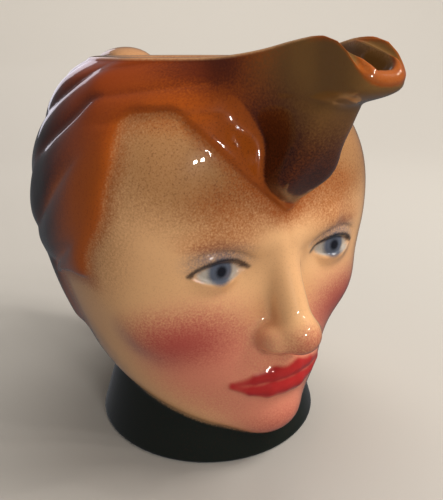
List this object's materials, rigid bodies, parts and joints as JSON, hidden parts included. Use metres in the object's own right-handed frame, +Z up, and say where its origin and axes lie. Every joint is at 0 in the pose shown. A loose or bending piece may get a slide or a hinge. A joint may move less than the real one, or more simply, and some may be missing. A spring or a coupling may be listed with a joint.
{
  "type": "anthropomorphic pitcher",
  "caption": "Glazed ceramic jug in the form of a head, open at the crown, with a swept forelock as pouring lip and a loop handle behind.",
  "frame": {"origin": "on the table under the middle of the jug's bounding box", "axes": "+Z up, face and pouring lip toward -Y, handle toward +Y, +X to the right seen from the front"},
  "size_m": [0.1501, 0.2326, 0.1793],
  "materials": {
    "glazed_ceramic": "high-gloss airbrushed glaze"
  },
  "bodies": {
    "root": {"pitcher": "glazed_ceramic"}
  },
  "joints": []
}
